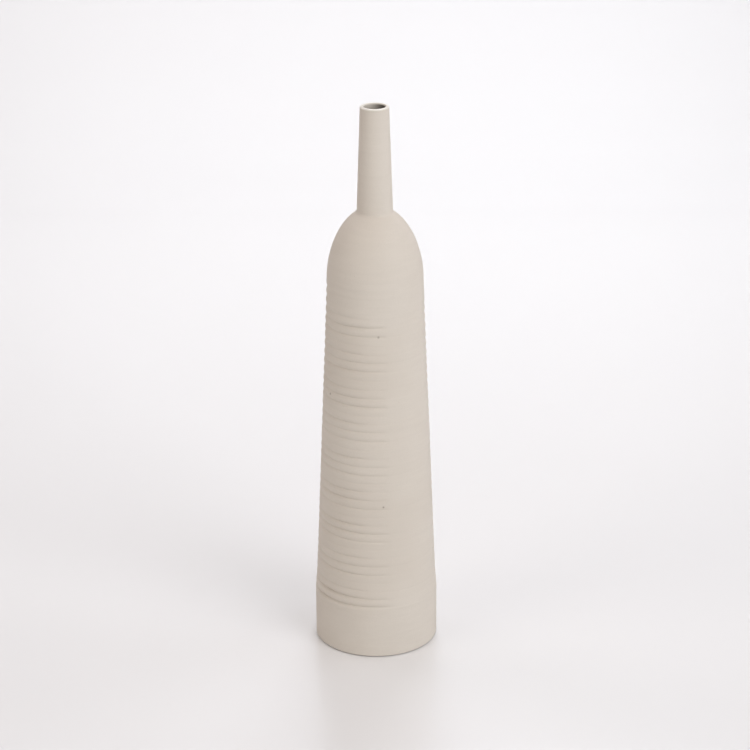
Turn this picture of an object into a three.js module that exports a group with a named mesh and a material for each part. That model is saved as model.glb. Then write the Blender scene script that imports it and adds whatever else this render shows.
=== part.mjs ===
// Ceramic bud vase: a tall, narrow-necked stoneware bottle with a ribbed body.
// It is built up the way a potter lutes it together before one firing: a floor slab keyed
// by a foot ring, a plain base collar, a ribbed body wall, a domed shoulder and a neck,
// sealed inside by a thin glaze lining. Every section is turned about the Z axis.
// Units are millimetres, +Z is up, and the origin is the centre of the foot's underside.

import * as THREE from 'three';

// Whole vase
const TOTAL_HEIGHT = 361;
const TURN_SEGMENTS = 48;
const ROUND_STEPS = 4; // straight steps in each small quarter-round edge
const FINE_ROUND_STEPS = 2; // the same for the smallest edges

// Plain base collar, standing a little proud of the ribbed body
const COLLAR_RADIUS = 40.1;
const COLLAR_INNER_RADIUS = 36.7;
const COLLAR_BOTTOM = 0.5; // the foot ring lifts the collar this far off the table
const COLLAR_TOP = 35.15;
const COLLAR_BOTTOM_ROUNDING = 0.6;
const COLLAR_TOP_ROUNDING = 0.6;

// Foot ring under the floor: inset, so that the collar's lower edge casts a thin shadow
const FOOT_OUTER_RADIUS = 38.2;
const FOOT_INNER_RADIUS = 30.0;
const FOOT_SEAT_HEIGHT = 1.2; // top of the ring, let into the floor and the collar
const FOOT_EDGE_CHAMFER = 0.3;

// Floor slab
const FLOOR_TOP = 6.0;

// Half-lap between the collar and the body wall
const BODY_SPIGOT_RADIUS = 38.2;
const BODY_SPIGOT_BOTTOM = 29.2;

// Ribbed body wall: a slow taper carrying evenly pitched finger rings
const FLARE_RADIUS = 40.05; // over the first crest, almost flush with the collar
const FLARE_TOP = 57.0; // the flare has died into the straight taper here
const TAPER_LOWER_RADIUS = 39.5; // the straight taper run down to the collar's top
const TAPER_UPPER_RADIUS = 30.8;
const RING_PITCH = 5.765;
const RING_COUNT = 37;
const RING_DEPTH = 0.45; // crest to groove
const FADED_RING_COUNT = 4; // the topmost rings die away towards the shoulder
const BODY_TOP = 247.5;

// Half-lap between the body wall and the shoulder
const SHOULDER_SPIGOT_RADIUS = 29.2;
const SHOULDER_SPIGOT_BOTTOM = 242.5;

// Shoulder: half an ellipse, closed by a small upturned collar that receives the neck
const SHOULDER_RADIUS = 30.8;
const SHOULDER_RISE = 49.0;
const SHOULDER_INNER_RADIUS = 27.7;
const SHOULDER_INNER_RISE = 45.8;
const SHOULDER_STEPS = 10;
const SHOULDER_INNER_STEPS = 8;

// Neck: a straight tapered tube whose lip is highest near the mouth and falls outwards
const NECK_BASE_RADIUS = 11.4;
const NECK_TOP_RADIUS = 9.1;
const NECK_SEAT = 294.4;
const NECK_SPIGOT_RADIUS = 9.6;
const BORE_BASE_RADIUS = 7.9;
const BORE_TOP_RADIUS = 7.0;
const NECK_FILLET_WIDTH = 1.8; // concave curve between the shoulder and the neck
const NECK_FILLET_HEIGHT = 1.5;
const NECK_FILLET_STEPS = 2;
const LIP_CREST_RADIUS = 7.5;
const LIP_OUTER_DROP = 0.7;
const LIP_INNER_DROP = 0.5;

// Glaze lining: a fired glass skin over the whole inside, ending just below the lip
const LINING_THICKNESS = 0.4;
const LINING_TOP = 360.2;

// Colours and roughness of the fired surfaces
const SLIPPED_CLAY = 0xd0c6bb;
const BARE_CLAY = 0xcdc0b4;
const INNER_GLAZE = 0x5a524a;
const CLAY_ROUGHNESS = 0.85;
const GLAZE_ROUGHNESS = 0.25;

// A point on the lathe profile: distance from the axis, height.
function point(radius, height) {
  return new THREE.Vector2(radius, height);
}

// Points along an elliptical arc, angles in degrees from the outward horizontal.
function arc(centre, radiusAcross, radiusUp, startDegrees, endDegrees, steps) {
  const points = [];
  for (let step = 0; step <= steps; step += 1) {
    const angle = THREE.MathUtils.degToRad(startDegrees + ((endDegrees - startDegrees) * step) / steps);
    points.push(point(centre.x + radiusAcross * Math.cos(angle), centre.y + radiusUp * Math.sin(angle)));
  }
  return points;
}

// A turned solid. Its profile runs round the section anticlockwise and closes on itself,
// or starts and ends on the axis.
function turn(name, profile, colour, roughness) {
  const startsOnAxis = profile[0].x === 0;
  const outline = startsOnAxis ? profile : [...profile, profile[0].clone()];
  const geometry = new THREE.LatheGeometry(outline, TURN_SEGMENTS);
  geometry.rotateX(Math.PI / 2);
  const material = new THREE.MeshStandardMaterial({ color: colour, roughness, metalness: 0 });
  const mesh = new THREE.Mesh(geometry, material);
  mesh.name = name;
  return mesh;
}

// Outer radius of the body at a height, over the ring crests.
function crestRadius(height) {
  const share = (height - COLLAR_TOP) / (BODY_TOP - COLLAR_TOP);
  const taper = THREE.MathUtils.lerp(TAPER_LOWER_RADIUS, TAPER_UPPER_RADIUS, share);
  const flareShare = THREE.MathUtils.clamp((FLARE_TOP - height) / (FLARE_TOP - COLLAR_TOP), 0, 1);
  return taper + (FLARE_RADIUS - TAPER_LOWER_RADIUS) * flareShare * flareShare;
}

// Ring that keys the floor slab and the collar together and carries the vase.
function makeFootRing() {
  const profile = [
    point(FOOT_INNER_RADIUS + FOOT_EDGE_CHAMFER, 0),
    point(FOOT_OUTER_RADIUS - FOOT_EDGE_CHAMFER, 0),
    point(FOOT_OUTER_RADIUS, FOOT_EDGE_CHAMFER),
    point(FOOT_OUTER_RADIUS, FOOT_SEAT_HEIGHT),
    point(FOOT_INNER_RADIUS, FOOT_SEAT_HEIGHT),
    point(FOOT_INNER_RADIUS, FOOT_EDGE_CHAMFER),
  ];
  return turn('foot_ring', profile, BARE_CLAY, CLAY_ROUGHNESS);
}

// Flat slab of clay that closes the bottom, rebated underneath for the foot ring.
function makeFloorSlab() {
  const profile = [
    point(0, COLLAR_BOTTOM),
    point(FOOT_INNER_RADIUS, COLLAR_BOTTOM),
    point(FOOT_INNER_RADIUS, FOOT_SEAT_HEIGHT),
    point(COLLAR_INNER_RADIUS, FOOT_SEAT_HEIGHT),
    point(COLLAR_INNER_RADIUS, FLOOR_TOP),
    point(0, FLOOR_TOP),
  ];
  return turn('floor_slab', profile, BARE_CLAY, CLAY_ROUGHNESS);
}

// Plain band at the base, with a socket for the foot ring below and for the body above.
function makeBaseCollar() {
  const lowerEdge = point(COLLAR_RADIUS - COLLAR_BOTTOM_ROUNDING, COLLAR_BOTTOM + COLLAR_BOTTOM_ROUNDING);
  const upperEdge = point(COLLAR_RADIUS - COLLAR_TOP_ROUNDING, COLLAR_TOP - COLLAR_TOP_ROUNDING);
  const profile = [
    point(FOOT_OUTER_RADIUS, COLLAR_BOTTOM),
    ...arc(lowerEdge, COLLAR_BOTTOM_ROUNDING, COLLAR_BOTTOM_ROUNDING, -90, 0, ROUND_STEPS),
    ...arc(upperEdge, COLLAR_TOP_ROUNDING, COLLAR_TOP_ROUNDING, 0, 90, FINE_ROUND_STEPS),
    point(BODY_SPIGOT_RADIUS, COLLAR_TOP),
    point(BODY_SPIGOT_RADIUS, BODY_SPIGOT_BOTTOM),
    point(COLLAR_INNER_RADIUS, BODY_SPIGOT_BOTTOM),
    point(COLLAR_INNER_RADIUS, FOOT_SEAT_HEIGHT),
    point(FOOT_OUTER_RADIUS, FOOT_SEAT_HEIGHT),
  ];
  return turn('base_collar', profile, SLIPPED_CLAY, CLAY_ROUGHNESS);
}

// Ribbed wall: crest and groove points climb the taper, and the topmost rings fade out.
function makeBodyWall() {
  const outside = [];
  for (let ring = 0; ring < RING_COUNT; ring += 1) {
    const groove = COLLAR_TOP + ring * RING_PITCH;
    const crest = groove + RING_PITCH / 2;
    const fade = Math.min(1, (RING_COUNT - ring) / FADED_RING_COUNT);
    outside.push(point(crestRadius(groove) - RING_DEPTH * fade, groove));
    outside.push(point(crestRadius(crest), crest));
  }
  const profile = [
    point(COLLAR_INNER_RADIUS, BODY_SPIGOT_BOTTOM),
    point(BODY_SPIGOT_RADIUS, BODY_SPIGOT_BOTTOM),
    point(BODY_SPIGOT_RADIUS, COLLAR_TOP),
    ...outside,
    point(SHOULDER_RADIUS, BODY_TOP),
    point(SHOULDER_SPIGOT_RADIUS, BODY_TOP),
    point(SHOULDER_SPIGOT_RADIUS, SHOULDER_SPIGOT_BOTTOM),
    point(SHOULDER_INNER_RADIUS, SHOULDER_SPIGOT_BOTTOM),
  ];
  return turn('body_wall', profile, SLIPPED_CLAY, CLAY_ROUGHNESS);
}

// Angle on an ellipse, in degrees, at which its distance from the axis is the given radius.
function ellipseAngle(radius, radiusAcross) {
  return THREE.MathUtils.radToDeg(Math.acos(radius / radiusAcross));
}

// Height of the inner shoulder where the bottom of the neck spigot meets it flush.
function neckSpigotBottom() {
  const angle = THREE.MathUtils.degToRad(ellipseAngle(NECK_SPIGOT_RADIUS, SHOULDER_INNER_RADIUS));
  return BODY_TOP + SHOULDER_INNER_RISE * Math.sin(angle);
}

// The shoulder's inner curve, climbing from the body to the neck spigot.
function innerShoulderCurve(inset) {
  const centre = point(0, BODY_TOP);
  const endAngle = ellipseAngle(NECK_SPIGOT_RADIUS, SHOULDER_INNER_RADIUS);
  const across = SHOULDER_INNER_RADIUS - inset;
  const up = SHOULDER_INNER_RISE - inset;
  return arc(centre, across, up, 0, endAngle, SHOULDER_INNER_STEPS);
}

// Dome between the body and the neck, ending in a small concave curve.
function makeShoulder() {
  const domeEnd = ellipseAngle(NECK_BASE_RADIUS + NECK_FILLET_WIDTH, SHOULDER_RADIUS);
  const dome = arc(point(0, BODY_TOP), SHOULDER_RADIUS, SHOULDER_RISE, 0, domeEnd, SHOULDER_STEPS);
  const filletCorner = point(NECK_BASE_RADIUS, NECK_SEAT - NECK_FILLET_HEIGHT);
  const filletEnd = point(NECK_BASE_RADIUS, NECK_SEAT);
  const fillet = new THREE.QuadraticBezierCurve(dome.pop(), filletCorner, filletEnd);
  const profile = [
    point(SHOULDER_INNER_RADIUS, SHOULDER_SPIGOT_BOTTOM),
    point(SHOULDER_SPIGOT_RADIUS, SHOULDER_SPIGOT_BOTTOM),
    point(SHOULDER_SPIGOT_RADIUS, BODY_TOP),
    ...dome,
    ...fillet.getPoints(NECK_FILLET_STEPS),
    point(NECK_SPIGOT_RADIUS, NECK_SEAT),
    ...innerShoulderCurve(0).reverse(),
  ];
  return turn('shoulder', profile, SLIPPED_CLAY, CLAY_ROUGHNESS);
}

// Tapered tube whose spigot drops into the shoulder's collar.
function makeNeck() {
  const outerCentre = point(LIP_CREST_RADIUS, TOTAL_HEIGHT - LIP_OUTER_DROP);
  const innerCentre = point(LIP_CREST_RADIUS, TOTAL_HEIGHT - LIP_INNER_DROP);
  const outerWidth = NECK_TOP_RADIUS - LIP_CREST_RADIUS;
  const innerWidth = LIP_CREST_RADIUS - BORE_TOP_RADIUS;
  const outerLip = arc(outerCentre, outerWidth, LIP_OUTER_DROP, 0, 90, ROUND_STEPS);
  const innerLip = arc(innerCentre, innerWidth, LIP_INNER_DROP, 90, 180, FINE_ROUND_STEPS);
  const profile = [
    point(BORE_BASE_RADIUS, neckSpigotBottom()),
    point(NECK_SPIGOT_RADIUS, neckSpigotBottom()),
    point(NECK_SPIGOT_RADIUS, NECK_SEAT),
    point(NECK_BASE_RADIUS, NECK_SEAT),
    ...outerLip,
    ...innerLip.slice(1),
  ];
  return turn('neck', profile, SLIPPED_CLAY, CLAY_ROUGHNESS);
}

// Radius of the neck's bore at a height, below the rounded lip.
function boreRadius(height) {
  const lipStart = TOTAL_HEIGHT - LIP_INNER_DROP;
  const share = (height - neckSpigotBottom()) / (lipStart - neckSpigotBottom());
  return THREE.MathUtils.lerp(BORE_BASE_RADIUS, BORE_TOP_RADIUS, share);
}

// Glaze skin: its outer face lies on the clay, its inner face is one thickness further in.
function makeGlazeLining() {
  const skin = LINING_THICKNESS;
  const againstClay = [
    point(COLLAR_INNER_RADIUS, FLOOR_TOP),
    point(COLLAR_INNER_RADIUS, BODY_SPIGOT_BOTTOM),
    point(SHOULDER_INNER_RADIUS, SHOULDER_SPIGOT_BOTTOM),
    ...innerShoulderCurve(0),
    point(BORE_BASE_RADIUS, neckSpigotBottom()),
    point(boreRadius(LINING_TOP), LINING_TOP),
  ];
  const towardsHollow = [
    point(boreRadius(LINING_TOP) - skin, LINING_TOP),
    point(BORE_BASE_RADIUS - skin, neckSpigotBottom() - skin),
    ...innerShoulderCurve(skin).reverse(),
    point(SHOULDER_INNER_RADIUS - skin, SHOULDER_SPIGOT_BOTTOM),
    point(COLLAR_INNER_RADIUS - skin, BODY_SPIGOT_BOTTOM),
    point(COLLAR_INNER_RADIUS - skin, FLOOR_TOP + skin),
  ];
  const profile = [
    point(0, FLOOR_TOP),
    ...againstClay,
    ...towardsHollow,
    point(0, FLOOR_TOP + skin),
  ];
  return turn('glaze_lining', profile, INNER_GLAZE, GLAZE_ROUGHNESS);
}

const vase = new THREE.Group();
vase.add(makeFootRing());
vase.add(makeFloorSlab());
vase.add(makeBaseCollar());
vase.add(makeBodyWall());
vase.add(makeShoulder());
vase.add(makeNeck());
vase.add(makeGlazeLining());

export default vase;
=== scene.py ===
"""Ceramic bud vase: the fine turned surfaces, finishes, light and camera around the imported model.

Sizes of the vase are in millimetres, and are scaled where a mesh or a shader takes them. The
studio and the camera are in metres. Colours are linear red, green and blue."""

import math

import bpy
import numpy as np
from mathutils import Matrix, Vector


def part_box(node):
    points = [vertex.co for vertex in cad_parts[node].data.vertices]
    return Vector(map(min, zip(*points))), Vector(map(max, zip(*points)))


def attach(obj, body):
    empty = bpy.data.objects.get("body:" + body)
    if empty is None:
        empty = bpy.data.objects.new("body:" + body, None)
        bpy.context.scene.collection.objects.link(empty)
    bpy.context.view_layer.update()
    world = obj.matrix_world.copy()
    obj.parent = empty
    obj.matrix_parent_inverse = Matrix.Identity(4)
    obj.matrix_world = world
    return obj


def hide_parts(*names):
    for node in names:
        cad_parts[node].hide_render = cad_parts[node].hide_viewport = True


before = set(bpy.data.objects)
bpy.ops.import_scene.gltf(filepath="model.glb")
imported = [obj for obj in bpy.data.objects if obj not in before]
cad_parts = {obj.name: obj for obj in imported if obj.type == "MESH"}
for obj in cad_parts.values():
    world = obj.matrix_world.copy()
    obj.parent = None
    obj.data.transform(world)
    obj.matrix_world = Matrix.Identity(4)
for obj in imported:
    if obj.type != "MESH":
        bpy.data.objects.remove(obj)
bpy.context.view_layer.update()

MM = 0.001
SEGMENTS = 192
SHARP_ANGLE = math.radians(35)
ANGLES = np.linspace(0, 2 * math.pi, SEGMENTS, endpoint=False)[None, :]
AXIS_TOLERANCE = 1e-6


def turned_box(node):
    """Outer radius, lowest and highest height of a turned CAD node."""
    low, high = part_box(node)
    return high.x / MM, low.z / MM, high.z / MM


# Dimensions that the CAD nodes' own boxes give
COLLAR_RADIUS, COLLAR_BOTTOM, COLLAR_TOP = turned_box("base_collar")
COLLAR_INNER_RADIUS, _, FLOOR_TOP = turned_box("floor_slab")
FOOT_RADIUS, FOOT_BOTTOM, FOOT_SEAT = turned_box("foot_ring")
_, BODY_SPIGOT_BOTTOM, BODY_TOP = turned_box("body_wall")
SHOULDER_RADIUS, SHOULDER_SPIGOT_BOTTOM, NECK_SEAT = turned_box("shoulder")
NECK_BASE_RADIUS, NECK_SPIGOT_BOTTOM, VASE_TOP = turned_box("neck")
_, _, LINING_TOP = turned_box("glaze_lining")

# Hidden laps, inner walls, fillets and edges, as in the CAD
FOOT_INNER_RADIUS = 30.0
BODY_SPIGOT_RADIUS = 38.2
SHOULDER_SPIGOT_RADIUS = 29.2
SHOULDER_INNER_RADIUS = 27.7
SHOULDER_INNER_RISE = 45.8
SHOULDER_RISE = 49.0
NECK_SPIGOT_RADIUS = 9.6
NECK_TOP_RADIUS = 9.1
BORE_BASE_RADIUS = 7.9
BORE_TOP_RADIUS = 7.0
NECK_FILLET_WIDTH = 1.8
NECK_FILLET_HEIGHT = 1.5
LINING_THICKNESS = 0.4
EDGE_ROUNDING = 0.6
FOOT_ROUNDING = 0.3  # a chamfer in the CAD
LIP_CREST_RADIUS = 7.5
LIP_OUTER_DROP = 0.7
LIP_INNER_DROP = 0.5

# Details that only the visual pieces have
INNER_CORNER_RADIUS = 3.0
TRIMMING_PITCH = 3.0
TRIMMING_DEPTH = 0.12

# Outside of the ribbed body: the crest line of the rings, as in the CAD
FLARE_RADIUS = 40.05
FLARE_TOP = 57.0
TAPER_LOWER_RADIUS = 39.5
TAPER_UPPER_RADIUS = 30.8
RING_PITCH = 5.765

# Steps in the curves, and rows of the plain walls
FOOT_EDGE_STEPS = 4
COLLAR_EDGE_STEPS = 8
COLLAR_ROW_SPACING = 0.4
TRIMMING_ROW_SPACING = 0.5
DOME_STEPS = 90
INNER_DOME_STEPS = 24
NECK_FILLET_STEPS = 8
NECK_ROWS = 60
OUTER_LIP_STEPS = 12
INNER_LIP_STEPS = 8
LINING_EDGE_STEPS = 6
INNER_CORNER_STEPS = 8

# Rows of the ribbed wall from one groove to the next, as shares of the pitch. They are closer
# together near the grooves, and keep clear of the wall's two end rows
RING_ROWS = (0.0, 0.04, 0.08, 0.13, 0.20, 0.30, 0.42, 0.58, 0.70, 0.80, 0.87, 0.92, 0.96)
ROW_CLEARANCE = 0.1


def smooth(low, high, value):
    """0 below low, 1 above high, with a smooth rise between."""
    share = np.clip((value - low) / (high - low), 0, 1)
    return share * share * (3 - 2 * share)


def swell(turns):
    """1 at every whole turn, 0 half a turn on."""
    return 0.5 + 0.5 * np.cos(2 * math.pi * turns)


def bearing(degrees):
    """Angle about Z in radians, from degrees that start at the camera's side and go to the right."""
    return math.radians(degrees - 90)


# ---- Hand-made surface ----

# A finger ring is a narrow groove, and the fall of the rounded crests into it
GROOVE_DEPTH = 0.38
CREST_FALL = 0.28
GROOVE_HALF_WIDTH = 0.12  # share of the pitch

# Where round the body the rings change, and how widely each change spreads
FRONT = bearing(0)
FRONT_REACH = 0.05
LEFT_FRONT = bearing(-28)
LEFT_FRONT_REACH = 0.08
FAR_LEFT = bearing(-57)
FAR_LEFT_REACH = 0.04
LEFT_SIDE = bearing(-85)
RIGHT_SIDE = bearing(85)
SIDE_REACH = 0.06
RIGHT_FRONT = bearing(41)
SHALLOW_START = (-38, -25)  # degrees round from RIGHT_FRONT
SHALLOW_END = (20, 55)  # the same

# Where up the body they change, counted in rings above the collar
FIRST_RINGS = (-1.6, -0.2)
LOWEST_PAIR_END = (1.3, 1.7)

# Where up the body they change, counted in rings below its top
FULL_RINGS = (1.9, 3.2)
LAST_RINGS = (-1.5, 0)
LAST_LEFT_NOTCH = (-0.2, 0.4)

# How hard the rings are pressed, as shares of the full depth
RING_GROUP = 4
FIRST_PAIR_MIDDLE = 0.5
FOURTH_RING = 3
FOURTH_LOSS = 0.75
FRONT_LEAST = 0.12
FRONT_FIRST_PAIR = 0.80
LEFT_FRONT_GAIN = 0.5
LOWEST_PAIR_GAIN = 1.5
SHALLOW_LOSS = 0.88
FAINT_TOP_RINGS = 0.1
MEAN_PRESS = 0.86
UNEVEN_PRESS = 0.16

# Notches in the outline at both sides of the upper body, and the heights over which they begin
LEFT_NOTCH = 0.65
RIGHT_NOTCH = 0.45
NOTCH_START = (155, 195)

# The rings stand slightly closer together low on the body, and wider apart near its top
DRIFT_MIDDLE = 120
DRIFT_SPAN = 95
DRIFT = 0.13  # share of the pitch

# Waves round the vase. A lean is how many radians a wave moves round per ring. In the formulas,
# the number that multiplies the angle is how many swells the wave has in one turn
SLOW_PRESS_LEAN = -1.37
QUICK_PRESS_LEAN = 2.11
SLOW_WANDER = 0.05  # share of the pitch
SLOW_WANDER_LEAN = 0.9
QUICK_WANDER = 0.025  # share of the pitch
QUICK_WANDER_LEAN = -1.7

# Out-of-round of the whole vase. A twist is the height over which a bulge moves round one radian
SLOW_BULGE = 0.0016  # share of the radius
SLOW_BULGE_TWIST = 90
SLOW_BULGE_START = 0.4
QUICK_BULGE = 0.0008  # share of the radius
QUICK_BULGE_TWIST = -47
QUICK_BULGE_START = 1.9


def near(angle, middle, reach):
    """1 at the middle angle, falling away smoothly on both sides."""
    return np.exp(-(1 - np.cos(angle - middle)) / reach)


def rings_above_collar(height):
    """Height above the collar, counted in ring pitches."""
    return (height - COLLAR_TOP) / RING_PITCH


def rings_below_top(height):
    """Depth below the body's top, counted in ring pitches."""
    return (BODY_TOP - height) / RING_PITCH


def ring_ends(height):
    """1 along the ribbed body, faint below the shoulder, falling to 0 past both ends."""
    below_top = rings_below_top(height)
    lower_end = smooth(*FIRST_RINGS, rings_above_collar(height))
    upper_end = FAINT_TOP_RINGS + (1 - FAINT_TOP_RINGS) * smooth(*FULL_RINGS, below_top)
    return lower_end * upper_end * smooth(*LAST_RINGS, below_top)


def ring_strength(height, angle):
    """How deep the finger grooves are pressed, as a share of the full depth.

    The rings come in groups of four, the first pair pressed hardest. They are deepest on the
    left front and shallow along the right front. The lowest two are deep at the far left."""
    ring = rings_above_collar(height)
    first_pair = swell((ring - FIRST_PAIR_MIDDLE) / RING_GROUP)
    # The cube narrows the swell to little more than the fourth ring itself
    fourth = swell((ring - FOURTH_RING) / RING_GROUP) ** 3
    front = near(angle, FRONT, FRONT_REACH)
    at_front = FRONT_LEAST + FRONT_FIRST_PAIR * first_pair
    grouped = (1 - FOURTH_LOSS * fourth) * (1 - front) + at_front * front
    left_front = near(angle, LEFT_FRONT, LEFT_FRONT_REACH)
    lowest_pair = near(angle, FAR_LEFT, FAR_LEFT_REACH) * (1 - smooth(*LOWEST_PAIR_END, ring))
    deeper = 1 + LEFT_FRONT_GAIN * left_front + LOWEST_PAIR_GAIN * lowest_pair
    turn = np.degrees((angle - RIGHT_FRONT + math.pi) % (2 * math.pi) - math.pi)
    shallow = smooth(*SHALLOW_START, turn) * (1 - smooth(*SHALLOW_END, turn))
    slow_press = np.sin(2 * angle + SLOW_PRESS_LEAN * ring)
    quick_press = np.sin(3 * angle + QUICK_PRESS_LEAN * ring)
    uneven = MEAN_PRESS + UNEVEN_PRESS * (slow_press + quick_press)
    return grouped * deeper * (1 - SHALLOW_LOSS * shallow) * uneven * ring_ends(height)


def side_fall(height, angle):
    """How much more the crests round off at both sides of the upper body."""
    left_end = smooth(*LAST_LEFT_NOTCH, rings_below_top(height))
    left = LEFT_NOTCH * near(angle, LEFT_SIDE, SIDE_REACH) * left_end
    right = RIGHT_NOTCH * near(angle, RIGHT_SIDE, SIDE_REACH) * ring_ends(height)
    return (left + right) * smooth(*NOTCH_START, height)


def ring_drift(height):
    """How far the grooves sit above even spacing, as a share of the pitch."""
    return DRIFT * ((height - DRIFT_MIDDLE) / DRIFT_SPAN) ** 2


def ring_relief(height, angle):
    """Depth of the finger rings below the crest line."""
    ring = rings_above_collar(height)
    slow_wander = SLOW_WANDER * np.sin(angle + SLOW_WANDER_LEAN * ring)
    quick_wander = QUICK_WANDER * np.sin(2 * angle + QUICK_WANDER_LEAN * ring)
    phase = ring + slow_wander + quick_wander - ring_drift(height)
    from_groove = np.abs(phase - np.round(phase))
    groove = np.exp(-((from_groove / GROOVE_HALF_WIDTH) ** 2))
    rounding = swell(from_groove)
    pressed = ring_strength(height, angle) * (GROOVE_DEPTH * groove + CREST_FALL * rounding)
    return pressed + side_fall(height, angle) * rounding


def hand_relief(height, angle):
    """Slow out-of-round of a piece formed by hand, as a share of its radius."""
    slow = 0.5 + 0.5 * np.sin(2 * angle + height / SLOW_BULGE_TWIST + SLOW_BULGE_START)
    quick = 0.5 + 0.5 * np.sin(3 * angle + height / QUICK_BULGE_TWIST + QUICK_BULGE_START)
    return SLOW_BULGE * slow + QUICK_BULGE * quick


def crest_radius(height):
    """Radius of the collar, or over the ring crests of the body."""
    share = (height - COLLAR_TOP) / (BODY_TOP - COLLAR_TOP)
    taper = TAPER_LOWER_RADIUS + (TAPER_UPPER_RADIUS - TAPER_LOWER_RADIUS) * share
    flare = np.clip((FLARE_TOP - height) / (FLARE_TOP - COLLAR_TOP), 0, 1)
    crest = taper + (FLARE_RADIUS - TAPER_LOWER_RADIUS) * flare ** 2
    return np.where(height < COLLAR_TOP, COLLAR_RADIUS, crest)


# ---- Profiles: rows of radii, heights and groove depths that go round a section ----

def outside(radii, heights):
    """Rows of the outer surface: radii and heights with the rings and the hand-made unevenness."""
    radii = np.asarray(radii, float)[:, None]
    heights = np.asarray(heights, float)[:, None]
    relief = ring_relief(heights, ANGLES)
    rows = (radii - relief) * (1 - hand_relief(heights, ANGLES))
    return rows, heights + 0 * ANGLES, relief


def plain(points):
    """Rows with the same radius all round, from (radius, height) points."""
    points = np.asarray(points, float)
    rows = points[:, :1] + 0 * ANGLES
    heights = points[:, 1:] + 0 * ANGLES
    return rows, heights, 0 * rows


def joined(*parts):
    """Several stretches of rows as one profile."""
    return tuple(np.concatenate(stretch) for stretch in zip(*parts))


def arc(centre, across, up, start, end, steps):
    """Points on an elliptical arc, angles in degrees from the outward horizontal."""
    turn = np.radians(np.linspace(start, end, steps + 1))
    return np.column_stack([centre[0] + across * np.cos(turn), centre[1] + up * np.sin(turn)])


def ellipse_angle(radius, across):
    """Angle in degrees at which an ellipse of that half width has that radius."""
    return math.degrees(math.acos(radius / across))


# ---- Turned meshes ----

def wall_faces(rows, closed):
    """Quads between each row and the next. A closed section also joins its last row to its first."""
    around = np.arange(SEGMENTS)
    following = (around + 1) % SEGMENTS
    faces = []
    for row in range(rows if closed else rows - 1):
        low = row * SEGMENTS
        high = (row + 1) % rows * SEGMENTS
        quads = np.column_stack([low + around, low + following, high + following, high + around])
        faces.extend(quads.tolist())
    return faces


def pole_faces(rows):
    """Fans from the first and last rows to the two points on the axis, which follow all the rows.
    The two fans are wound opposite ways, so that both face outwards."""
    bottom_pole = rows * SEGMENTS
    top_pole = bottom_pole + 1
    top_row = bottom_pole - SEGMENTS
    edges = [(start, (start + 1) % SEGMENTS) for start in range(SEGMENTS)]
    bottom_fan = [(bottom_pole, end, start) for start, end in edges]
    top_fan = [(top_row + start, top_row + end, top_pole) for start, end in edges]
    return bottom_fan + top_fan


def turned_mesh(name, profile):
    """A turned solid from rows that go anticlockwise round the section.
    Where the first and last rows are on the axis, each becomes one point."""
    radii, heights, relief = profile
    on_axis = radii[0].max() < AXIS_TOLERANCE
    walls = slice(1, -1) if on_axis else slice(None)
    x = radii[walls] * np.cos(ANGLES)
    y = radii[walls] * np.sin(ANGLES)
    vertices = np.stack([x, y, heights[walls]], axis=-1).reshape(-1, 3)
    depth = relief[walls].reshape(-1)
    faces = wall_faces(len(x), closed=not on_axis)
    if on_axis:
        poles = [[0, 0, heights[0, 0]], [0, 0, heights[-1, 0]]]
        vertices = np.concatenate([vertices, poles])
        depth = np.concatenate([depth, [0, 0]])
        faces += pole_faces(len(x))
    mesh = bpy.data.meshes.new(name)
    mesh.from_pydata((vertices * MM).tolist(), [], faces)
    mesh.update()
    mesh.polygons.foreach_set("use_smooth", [True] * len(mesh.polygons))
    mesh.set_sharp_from_angle(angle=SHARP_ANGLE)
    # Groove depth at each point, which the clay's painted shade in the grooves follows
    groove = mesh.attributes.new("groove", "FLOAT", "POINT")
    groove.data.foreach_set("value", np.clip(depth / (GROOVE_DEPTH + CREST_FALL), 0, 1))
    return mesh


def turned(name, profile, material, node):
    """A turned piece that stands for a CAD node."""
    mesh = turned_mesh(name, profile)
    mesh.materials.append(material)
    piece = bpy.data.objects.new(name, mesh)
    bpy.context.scene.collection.objects.link(piece)
    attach(piece, "root")
    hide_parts(node)
    return piece


# ---- Materials ----

# A Mix node has sockets for every kind of value: these are the numbers of its colour sockets
MIX_FIRST = 6
MIX_SECOND = 7
MIX_RESULT = 2

# Most of a noise texture's values lie in this span
NOISE_SPAN = (0.3, 0.7)

# Where the soft edges begin and end, from the middle out
SPECK_EDGE = (0.3, 0.6)  # shares of the speck's size
SPOT_EDGE = (0.4, 1.2)  # shares of the spot's radius


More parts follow.
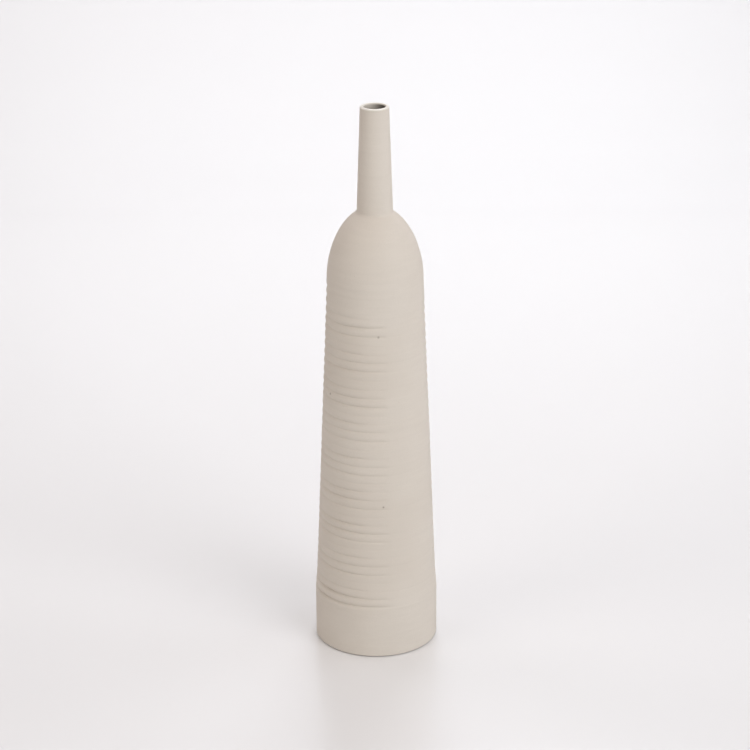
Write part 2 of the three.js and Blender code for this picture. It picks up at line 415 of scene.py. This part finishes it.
class Shader:
    """Short helpers for building one material's node tree."""

    def __init__(self, name):
        self.material = bpy.data.materials.new(name)
        self.material.use_nodes = True
        self.tree = self.material.node_tree
        self.surface = self.tree.nodes["Principled BSDF"]
        self.place = self.tree.nodes.new("ShaderNodeTexCoord").outputs["Object"]

    def link(self, source, target):
        self.tree.links.new(source, target)

    def set_surface(self, name, value):
        """Sets one input of the surface to a number, a colour or a node's output."""
        socket = self.surface.inputs[name]
        if isinstance(value, tuple):
            socket.default_value = (*value, 1)
        elif isinstance(value, (int, float)):
            socket.default_value = value
        else:
            self.link(value, socket)

    def stretched(self, scale):
        """Object coordinates scaled differently along X, Y and Z."""
        node = self.tree.nodes.new("ShaderNodeMapping")
        node.inputs["Scale"].default_value = scale
        self.link(self.place, node.inputs["Vector"])
        return node.outputs["Vector"]

    def coordinate(self, axis):
        """One of the object coordinates X, Y or Z, in metres."""
        node = self.tree.nodes.new("ShaderNodeSeparateXYZ")
        self.link(self.place, node.inputs["Vector"])
        return node.outputs[axis]

    def noise(self, size, detail, rough, scale=(1, 1, 1)):
        """Noise whose blotches are about that size across."""
        node = self.tree.nodes.new("ShaderNodeTexNoise")
        node.inputs["Scale"].default_value = 1 / (size * MM)
        node.inputs["Detail"].default_value = detail
        node.inputs["Roughness"].default_value = rough
        self.link(self.stretched(scale), node.inputs["Vector"])
        return node.outputs["Fac"]

    def patches(self, size, detail, rough, scale=(1, 1, 1), span=NOISE_SPAN):
        """Noise stretched to reach from 0 to 1."""
        return self.ramp(self.noise(size, detail, rough, scale), *span)

    def ramp(self, value, low, high, from_value=0.0, to_value=1.0):
        """A value rescaled from low..high to from_value..to_value, smoothly and clamped."""
        node = self.tree.nodes.new("ShaderNodeMapRange")
        node.interpolation_type = "SMOOTHSTEP"
        node.inputs["From Min"].default_value = low
        node.inputs["From Max"].default_value = high
        node.inputs["To Min"].default_value = from_value
        node.inputs["To Max"].default_value = to_value
        self.link(value, node.inputs["Value"])
        return node.outputs["Result"]

    def maths(self, operation, first, second):
        """Two values put together. Each is a number or a node's output."""
        node = self.tree.nodes.new("ShaderNodeMath")
        node.operation = operation
        for socket, value in zip(node.inputs, (first, second)):
            if isinstance(value, (int, float)):
                socket.default_value = value
            else:
                self.link(value, socket)
        return node.outputs["Value"]

    def mix(self, share, first, second):
        """A colour between first and second."""
        node = self.tree.nodes.new("ShaderNodeMix")
        node.data_type = "RGBA"
        self.link(share, node.inputs["Factor"])
        for number, value in ((MIX_FIRST, first), (MIX_SECOND, second)):
            if isinstance(value, tuple):
                node.inputs[number].default_value = (*value, 1)
            else:
                self.link(value, node.inputs[number])
        return node.outputs[MIX_RESULT]

    def tinted(self, colour, tint, where, strength):
        """The colour with a tint of that strength over it where a mask is 1."""
        return self.mix(self.maths("MULTIPLY", where, strength), colour, tint)

    def specks(self, spacing, size, rarity):
        """1 inside small scattered dots, 0 elsewhere. Only the given share of cells has one."""
        node = self.tree.nodes.new("ShaderNodeTexVoronoi")
        node.inputs["Scale"].default_value = 1 / (spacing * MM)
        self.link(self.place, node.inputs["Vector"])
        core, rim = (share * size / spacing for share in SPECK_EDGE)
        inside = self.ramp(node.outputs["Distance"], core, rim, 1, 0)
        split = self.tree.nodes.new("ShaderNodeSeparateColor")
        self.link(node.outputs["Color"], split.inputs["Color"])
        chosen = self.maths("LESS_THAN", split.outputs["Red"], rarity)
        return self.maths("MULTIPLY", inside, chosen)

    def spot(self, azimuth, height, radius):
        """1 inside one round spot on the outside of the vase, 0 elsewhere."""
        angle = bearing(azimuth)
        wall = float(crest_radius(height))
        middle = Vector((wall * math.cos(angle), wall * math.sin(angle), height)) * MM
        node = self.tree.nodes.new("ShaderNodeVectorMath")
        node.operation = "DISTANCE"
        node.inputs[1].default_value = middle
        self.link(self.place, node.inputs[0])
        core, rim = (share * radius * MM for share in SPOT_EDGE)
        return self.ramp(node.outputs["Value"], core, rim, 1, 0)

    def bump(self, relief, height, strength=1.0, below=None):
        """A bump of that full height, over an earlier bump if one is given."""
        node = self.tree.nodes.new("ShaderNodeBump")
        node.inputs["Distance"].default_value = height * MM
        node.inputs["Strength"].default_value = strength
        self.link(relief, node.inputs["Height"])
        if below is not None:
            self.link(below, node.inputs["Normal"])
        return node.outputs["Normal"]

    def attribute(self, name):
        """A value that the mesh carries at its points."""
        node = self.tree.nodes.new("ShaderNodeAttribute")
        node.attribute_name = name
        return node.outputs["Fac"]


# Iron spots that burned through the surface: azimuth in degrees from the front towards the
# right, height and radius
IRON_SPOTS = (
    (3.5, 220.5, 1.0),
    (-59.0, 177.0, 0.9),
    (7.5, 106.0, 0.8),
    (78.0, 64.0, 0.6),
    (121.0, 148.0, 0.7),
    (166.0, 232.0, 0.6),
    (204.0, 88.0, 0.8),
    (252.0, 191.0, 0.7),
)

# Pale engobe
ENGOBE_DARK = (0.640, 0.572, 0.500)
ENGOBE_LIGHT = (0.670, 0.606, 0.536)
BRUSH_MARKS = (0.615, 0.553, 0.487)
GRAIN = (0.560, 0.497, 0.430)
# Painted shade in the grooves
PAINTED_GROOVE_SHADE = (0.500, 0.440, 0.375)
CLAY_DUST = (0.330, 0.270, 0.210)
IRON = (0.240, 0.190, 0.150)
ENGOBE_ROUGHNESS = (0.58, 0.70)
ENGOBE_SPECULAR = 0.5

# The lip carries a painted highlight, paler, and is smoother: how far below the vase's top that begins, and
# is full
LIP_HIGHLIGHT_AND_POLISH = (1.0, 0.5)
PAINTED_LIP_HIGHLIGHT = (0.760, 0.715, 0.650)
LIP_POLISH = -0.3

# Bare foot
FOOT_DARK = (0.470, 0.395, 0.325)
FOOT_LIGHT = (0.540, 0.465, 0.390)
GROG = (0.300, 0.235, 0.180)
FOOT_ROUGHNESS = 0.92

# Liner glaze: where across the bore, along X, the painted shade begins, as a share of the bore's radius. The
# -X side is painted lit and the +X side is painted in shade
PAINTED_SHADE_START = -0.6
# Painted light: the lit side of the bore
LIT_SIDE_GLAZE_DARK = (0.560, 0.510, 0.450)
LIT_SIDE_GLAZE_LIGHT = (0.620, 0.570, 0.510)
# Painted shade: the shaded side of the bore
SHADED_SIDE_GLAZE_DARK = (0.030, 0.026, 0.022)
SHADED_SIDE_GLAZE_LIGHT = (0.055, 0.048, 0.040)
GLAZE_ROUGHNESS = (0.18, 0.30)


def matte_clay():
    """Pale engobe over stoneware: chalky, faintly mottled, with a few iron specks, painted shade in the
    grooves and a painted highlight on the lip.
    """
    shader = Shader("matte_clay")
    cloud = shader.patches(size=70, detail=2, rough=0.5, span=(0.35, 0.65))
    brushed = shader.patches(size=26, detail=4, rough=0.6, scale=(1, 1, 9))
    grain = shader.patches(size=0.9, detail=3, rough=0.6)
    dust = shader.specks(spacing=7, size=0.45, rarity=0.25)
    iron = shader.specks(spacing=22, size=1.1, rarity=0.06)
    for azimuth, height, radius in IRON_SPOTS:
        iron = shader.maths("MAXIMUM", iron, shader.spot(azimuth, height, radius))
    highlight_and_polish_start, highlight_and_polish_full = ((VASE_TOP - drop) * MM for drop in LIP_HIGHLIGHT_AND_POLISH)
    lip = shader.ramp(shader.coordinate("Z"), highlight_and_polish_start, highlight_and_polish_full)

    colour = shader.mix(cloud, ENGOBE_DARK, ENGOBE_LIGHT)
    colour = shader.tinted(colour, BRUSH_MARKS, brushed, strength=0.35)
    colour = shader.tinted(colour, GRAIN, grain, strength=0.12)
    # Painted shade in the grooves, darker where they are deeper
    colour = shader.tinted(colour, PAINTED_GROOVE_SHADE, shader.attribute("groove"), strength=0.12)
    colour = shader.tinted(colour, CLAY_DUST, dust, strength=0.35)
    colour = shader.tinted(colour, IRON, iron, strength=0.6)
    # Painted highlight: the lip is painted paler near the top
    shader.set_surface("Base Color", shader.mix(lip, colour, PAINTED_LIP_HIGHLIGHT))

    matte = shader.ramp(grain, 0, 1, *ENGOBE_ROUGHNESS)
    polish = shader.ramp(lip, 0, 1, 0, LIP_POLISH)
    shader.set_surface("Roughness", shader.maths("ADD", matte, polish))
    shader.set_surface("Specular IOR Level", ENGOBE_SPECULAR)

    turned_lines = shader.noise(size=3, detail=3, rough=0.55, scale=(0.12, 0.12, 3))
    lines = shader.bump(turned_lines, height=0.05)
    fine = shader.noise(size=0.7, detail=3, rough=0.65)
    shader.set_surface("Normal", shader.bump(fine, height=0.03, strength=0.8, below=lines))
    return shader.material


def bare_clay():
    """Unglazed foot: coarser, a little darker, with grog showing."""
    shader = Shader("bare_clay")
    cloud = shader.patches(size=18, detail=3, rough=0.6)
    grog = shader.specks(spacing=2.2, size=0.6, rarity=0.4)
    colour = shader.mix(cloud, FOOT_DARK, FOOT_LIGHT)
    shader.set_surface("Base Color", shader.tinted(colour, GROG, grog, strength=0.5))
    shader.set_surface("Roughness", FOOT_ROUGHNESS)
    coarse = shader.noise(size=0.8, detail=4, rough=0.7)
    shader.set_surface("Normal", shader.bump(coarse, height=0.08))
    return shader.material


def inner_glaze():
    """Liner glaze: glossy, with painted light on the -X side of the bore and painted shade on the +X side.
    """
    shader = Shader("inner_glaze")
    bore = BORE_TOP_RADIUS * MM
    # Painted light on the -X side of the bore, painted shade on the +X side
    across = shader.ramp(shader.coordinate("X"), PAINTED_SHADE_START * bore, bore)
    runs = shader.patches(size=14, detail=3, rough=0.5, scale=(1, 1, 0.35))
    lit_side = shader.mix(runs, LIT_SIDE_GLAZE_DARK, LIT_SIDE_GLAZE_LIGHT)
    shaded_side = shader.mix(runs, SHADED_SIDE_GLAZE_DARK, SHADED_SIDE_GLAZE_LIGHT)
    shader.set_surface("Base Color", shader.mix(across, lit_side, shaded_side))
    shader.set_surface("Roughness", shader.ramp(runs, 0, 1, *GLAZE_ROUGHNESS))
    ripple = shader.noise(size=6, detail=2, rough=0.5)
    shader.set_surface("Normal", shader.bump(ripple, height=0.08))
    return shader.material


# ---- Pieces ----

def foot_ring(material):
    """Ring that carries the vase, with both of its lower edges rounded."""
    edge_height = FOOT_BOTTOM + FOOT_ROUNDING
    inner = (FOOT_INNER_RADIUS + FOOT_ROUNDING, edge_height)
    outer = (FOOT_RADIUS - FOOT_ROUNDING, edge_height)
    profile = plain([
        *arc(inner, FOOT_ROUNDING, FOOT_ROUNDING, 180, 270, FOOT_EDGE_STEPS),
        *arc(outer, FOOT_ROUNDING, FOOT_ROUNDING, 270, 360, FOOT_EDGE_STEPS),
        (FOOT_RADIUS, FOOT_SEAT),
        (FOOT_INNER_RADIUS, FOOT_SEAT),
    ])
    return turned("foot_ring_trimmed", profile, material, "foot_ring")


def floor_slab(material):
    """Slab with shallow trimming rings cut into its underside."""
    trimmed = []
    for radius in np.arange(0, FOOT_INNER_RADIUS, TRIMMING_ROW_SPACING):
        cut = TRIMMING_DEPTH * (1 - swell(radius / TRIMMING_PITCH))
        trimmed.append((radius, COLLAR_BOTTOM + cut))
    profile = plain([
        *trimmed,
        (FOOT_INNER_RADIUS, COLLAR_BOTTOM),
        (FOOT_INNER_RADIUS, FOOT_SEAT),
        (COLLAR_INNER_RADIUS, FOOT_SEAT),
        (COLLAR_INNER_RADIUS, FLOOR_TOP),
        (0, FLOOR_TOP),
    ])
    return turned("floor_slab_trimmed", profile, material, "floor_slab")


def base_collar(material):
    """Plain band: its upper edge sinks into the first groove of the body."""
    edge = (COLLAR_RADIUS - EDGE_ROUNDING, COLLAR_BOTTOM + EDGE_ROUNDING)
    lower_edge = arc(edge, EDGE_ROUNDING, EDGE_ROUNDING, -90, 0, COLLAR_EDGE_STEPS)
    heights = np.arange(edge[1] + EDGE_ROUNDING, COLLAR_TOP, COLLAR_ROW_SPACING)
    heights = np.array([*heights, COLLAR_TOP])
    profile = joined(
        plain([(FOOT_RADIUS, COLLAR_BOTTOM)]),
        outside(lower_edge[:, 0], lower_edge[:, 1]),
        outside(crest_radius(heights), heights),
        plain([
            (BODY_SPIGOT_RADIUS, COLLAR_TOP),
            (BODY_SPIGOT_RADIUS, BODY_SPIGOT_BOTTOM),
            (COLLAR_INNER_RADIUS, BODY_SPIGOT_BOTTOM),
            (COLLAR_INNER_RADIUS, FOOT_SEAT),
            (FOOT_RADIUS, FOOT_SEAT),
        ]),
    )
    return turned("base_collar_turned", profile, material, "base_collar")


def body_wall(material):
    """Ribbed wall, with its rows moved along with the grooves."""
    ring_count = int((BODY_TOP - COLLAR_TOP) / RING_PITCH) + 1
    rings = np.add.outer(np.arange(-1, ring_count), RING_ROWS).ravel()
    even = COLLAR_TOP + RING_PITCH * rings
    drifted = even + RING_PITCH * ring_drift(even)
    inside = (drifted > COLLAR_TOP + ROW_CLEARANCE) & (drifted < BODY_TOP - ROW_CLEARANCE)
    heights = np.array([COLLAR_TOP, *drifted[inside], BODY_TOP])
    profile = joined(
        plain([
            (COLLAR_INNER_RADIUS, BODY_SPIGOT_BOTTOM),
            (BODY_SPIGOT_RADIUS, BODY_SPIGOT_BOTTOM),
            (BODY_SPIGOT_RADIUS, COLLAR_TOP),
        ]),
        outside(crest_radius(heights), heights),
        plain([
            (SHOULDER_SPIGOT_RADIUS, BODY_TOP),
            (SHOULDER_SPIGOT_RADIUS, SHOULDER_SPIGOT_BOTTOM),
            (SHOULDER_INNER_RADIUS, SHOULDER_SPIGOT_BOTTOM),
        ]),
    )
    return turned("body_wall_ribbed", profile, material, "body_wall")


def inner_shoulder(inset):
    """The shoulder's inner curve, climbing from the body to the neck."""
    end = ellipse_angle(NECK_SPIGOT_RADIUS, SHOULDER_INNER_RADIUS)
    across = SHOULDER_INNER_RADIUS - inset
    up = SHOULDER_INNER_RISE - inset
    return arc((0, BODY_TOP), across, up, 0, end, INNER_DOME_STEPS)


def shoulder(material):
    """Dome, then a small concave curve up to the neck."""
    dome_end = ellipse_angle(NECK_BASE_RADIUS + NECK_FILLET_WIDTH, SHOULDER_RADIUS)
    dome = arc((0, BODY_TOP), SHOULDER_RADIUS, SHOULDER_RISE, 0, dome_end, DOME_STEPS)
    start = dome[-1]
    corner = np.array([NECK_BASE_RADIUS, NECK_SEAT - NECK_FILLET_HEIGHT])
    end = np.array([NECK_BASE_RADIUS, NECK_SEAT])
    share = np.linspace(0, 1, NECK_FILLET_STEPS + 1)[1:, None]
    fillet = (1 - share) ** 2 * start + 2 * share * (1 - share) * corner + share ** 2 * end
    skin = np.concatenate([dome, fillet])
    profile = joined(
        plain([
            (SHOULDER_INNER_RADIUS, SHOULDER_SPIGOT_BOTTOM),
            (SHOULDER_SPIGOT_RADIUS, SHOULDER_SPIGOT_BOTTOM),
            (SHOULDER_SPIGOT_RADIUS, BODY_TOP),
        ]),
        outside(skin[:, 0], skin[:, 1]),
        plain([(NECK_SPIGOT_RADIUS, NECK_SEAT), *inner_shoulder(0)[::-1]]),
    )
    return turned("shoulder_dome", profile, material, "shoulder")


def neck(material):
    """Tapered tube. Its lip is highest near the mouth and falls away outwards."""
    outer_centre = (LIP_CREST_RADIUS, VASE_TOP - LIP_OUTER_DROP)
    inner_centre = (LIP_CREST_RADIUS, VASE_TOP - LIP_INNER_DROP)
    outer_width = NECK_TOP_RADIUS - LIP_CREST_RADIUS
    inner_width = LIP_CREST_RADIUS - BORE_TOP_RADIUS
    heights = np.linspace(NECK_SEAT, outer_centre[1], NECK_ROWS)[:-1]
    radii = np.linspace(NECK_BASE_RADIUS, NECK_TOP_RADIUS, NECK_ROWS)[:-1]
    outer_lip = arc(outer_centre, outer_width, LIP_OUTER_DROP, 0, 90, OUTER_LIP_STEPS)
    inner_lip = arc(inner_centre, inner_width, LIP_INNER_DROP, 90, 180, INNER_LIP_STEPS)
    profile = joined(
        plain([
            (BORE_BASE_RADIUS, NECK_SPIGOT_BOTTOM),
            (NECK_SPIGOT_RADIUS, NECK_SPIGOT_BOTTOM),
            (NECK_SPIGOT_RADIUS, NECK_SEAT),
        ]),
        outside(radii, heights),
        outside(outer_lip[:, 0], outer_lip[:, 1]),
        plain(inner_lip[1:]),
    )
    return turned("neck_tube", profile, material, "neck")


def glaze_lining(material):
    """Skin of glaze over the whole inside, with a soft edge just below the lip."""
    skin = LINING_THICKNESS
    lip_start = VASE_TOP - LIP_INNER_DROP
    bore_share = (LINING_TOP - NECK_SPIGOT_BOTTOM) / (lip_start - NECK_SPIGOT_BOTTOM)
    bore_top = BORE_BASE_RADIUS + (BORE_TOP_RADIUS - BORE_BASE_RADIUS) * bore_share
    edge = (bore_top - skin / 2, LINING_TOP - skin / 2)
    corner = (COLLAR_INNER_RADIUS - INNER_CORNER_RADIUS, FLOOR_TOP + INNER_CORNER_RADIUS)
    corner_bend = INNER_CORNER_RADIUS - skin
    profile = plain([
        (0, FLOOR_TOP),
        (COLLAR_INNER_RADIUS, FLOOR_TOP),
        (COLLAR_INNER_RADIUS, BODY_SPIGOT_BOTTOM),
        (SHOULDER_INNER_RADIUS, SHOULDER_SPIGOT_BOTTOM),
        *inner_shoulder(0),
        (BORE_BASE_RADIUS, NECK_SPIGOT_BOTTOM),
        *arc(edge, skin / 2, skin / 2, 0, 180, LINING_EDGE_STEPS),
        (BORE_BASE_RADIUS - skin, NECK_SPIGOT_BOTTOM - skin),
        *inner_shoulder(skin)[::-1],
        (SHOULDER_INNER_RADIUS - skin, SHOULDER_SPIGOT_BOTTOM),
        (COLLAR_INNER_RADIUS - skin, BODY_SPIGOT_BOTTOM),
        *arc(corner, corner_bend, corner_bend, 0, -90, INNER_CORNER_STEPS),
        (0, FLOOR_TOP + skin),
    ])
    return turned("glaze_lining_skin", profile, material, "glaze_lining")


clay = matte_clay()
foot_clay = bare_clay()
foot_ring(foot_clay)
floor_slab(foot_clay)
base_collar(clay)
body_wall(clay)
shoulder(clay)
neck(clay)
glaze_lining(inner_glaze())


# ---- Studio, in metres ----

SWEEP_HALF_WIDTH = 9.0
SWEEP_FRONT = -9.0
SWEEP_BEND_START = 0.9
SWEEP_BEND_RADIUS = 1.4
SWEEP_BEND_STEPS = 24
SWEEP_TOP = 5.0
SWEEP_COLOUR = (0.82, 0.81, 0.815)
SWEEP_ROUGHNESS = 0.24
SWEEP_SPECULAR = 1.0
SWEEP_COAT = 0.5
SWEEP_COAT_ROUGHNESS = 0.16


def sweep_paper():
    """Pale, slightly glossy paper."""
    shader = Shader("studio_floor")
    shader.set_surface("Base Color", SWEEP_COLOUR)
    shader.set_surface("Roughness", SWEEP_ROUGHNESS)
    shader.set_surface("Specular IOR Level", SWEEP_SPECULAR)
    shader.set_surface("Coat Weight", SWEEP_COAT)
    shader.set_surface("Coat Roughness", SWEEP_COAT_ROUGHNESS)
    return shader.material


def studio_floor():
    """Paper sweep: level under the vase, bending up well behind it."""
    radius = SWEEP_BEND_RADIUS
    bend = arc((SWEEP_BEND_START, radius), radius, radius, -90, 0, SWEEP_BEND_STEPS)
    line = [(SWEEP_FRONT, 0), *bend, (SWEEP_BEND_START + radius, SWEEP_TOP)]
    left = [(-SWEEP_HALF_WIDTH, y, z) for y, z in line]
    right = [(SWEEP_HALF_WIDTH, y, z) for y, z in line]
    rows = len(line)
    faces = [(row, rows + row, rows + row + 1, row + 1) for row in range(rows - 1)]
    mesh = bpy.data.meshes.new("studio_floor")
    mesh.from_pydata(left + right, [], faces)
    mesh.polygons.foreach_set("use_smooth", [True] * len(mesh.polygons))
    mesh.materials.append(sweep_paper())
    floor = bpy.data.objects.new("studio_floor", mesh)
    bpy.context.scene.collection.objects.link(floor)


def area_light(name, place, aim, size, power, colour):
    """A square soft light at a place, aimed at a point."""
    light = bpy.data.lights.new(name, "AREA")
    light.shape = "SQUARE"
    light.size = size
    light.energy = power
    light.color = colour
    lamp = bpy.data.objects.new(name, light)
    lamp.location = place
    lamp.rotation_euler = (Vector(place) - Vector(aim)).to_track_quat("Z", "Y").to_euler()
    bpy.context.scene.collection.objects.link(lamp)


def softbox(name, azimuth, elevation, distance, size, power, colour):
    """A square soft light aimed at the middle of the vase. Azimuth 0 is on the camera's side."""
    across = bearing(azimuth)
    up = math.radians(elevation)
    middle = Vector((0, 0, VASE_TOP * MM / 2))
    way = Vector((math.cos(across) * math.cos(up), math.sin(across) * math.cos(up), math.sin(up)))
    area_light(name, middle + distance * way, middle, size, power, colour)


AIR_COLOUR = (1.0, 0.954, 0.928)
AIR_STRENGTH = 0.307


def studio_air():
    """Faint even light from all round."""
    world = bpy.data.worlds.new("studio_air")
    world.use_nodes = True
    background = world.node_tree.nodes["Background"]
    background.inputs["Color"].default_value = (*AIR_COLOUR, 1)
    background.inputs["Strength"].default_value = AIR_STRENGTH
    bpy.context.scene.world = world


def lighting():
    """Softboxes round the vase, each by azimuth, elevation and distance. Then lights over the
    vase and over the sweep behind it, each by its place and the point that it faces."""
    softbox("key_right", 45, 25, 2.6, size=1.5, power=24.7, colour=(0.94, 0.974, 1.0))
    softbox("key_above", 45, 60, 2.2, size=1.2, power=7.3, colour=(1.0, 0.919, 0.899))
    softbox("front_low", 10, 8, 2.6, size=1.2, power=8.7, colour=(0.881, 0.977, 1.0))
    softbox("fill_left", -60, 25, 2.6, size=1.5, power=13.2, colour=(1.0, 0.942, 0.866))
    softbox("rim_right", 105, 25, 2.6, size=1.5, power=10.7, colour=(0.916, 0.95, 1.0))
    area_light("back_left", (-1.6, 1.2, 1.8), (0, 1.0, 0), size=1.2, power=7.6, colour=(1.0, 0.943, 0.951))
    area_light("sweep_wash", (0, 2.0, 2.6), (0, 1.9, 0), size=1.6, power=8.6, colour=(0.934, 0.958, 1.0))
    area_light("overhead", (0, 0, 3.2), (0, 0, 0), size=1.8, power=8.8, colour=(1.0, 0.923, 0.909))
    area_light("sweep_pool", (0.1, 0.9, 1.1), (0.1, 1.1, 0), size=0.5, power=5.4, colour=(0.895, 0.947, 1.0))


CAMERA_PLACE = (-0.0003, -1.462, 0.7658)
CAMERA_PITCH = math.radians(21.741)
CAMERA_ROLL = math.radians(-0.224)
CAMERA_LENS = 117.7  # millimetres, like the width of the sensor
CAMERA_SENSOR = 36
NEAREST_SEEN = 0.05
FARTHEST_SEEN = 50


def photographer():
    """The photo's camera, looking down at the vase from the front."""
    data = bpy.data.cameras.new("camera")
    data.sensor_width = CAMERA_SENSOR
    data.lens = CAMERA_LENS
    data.clip_start = NEAREST_SEEN
    data.clip_end = FARTHEST_SEEN
    camera = bpy.data.objects.new("camera", data)
    tilt = Matrix.Rotation(math.pi / 2 - CAMERA_PITCH, 4, "X")
    roll = Matrix.Rotation(CAMERA_ROLL, 4, "Z")
    camera.matrix_world = Matrix.Translation(CAMERA_PLACE) @ tilt @ roll
    bpy.context.scene.collection.objects.link(camera)
    bpy.context.scene.camera = camera


studio_floor()
lighting()
studio_air()
photographer()
bpy.context.scene.view_settings.view_transform = "Standard"
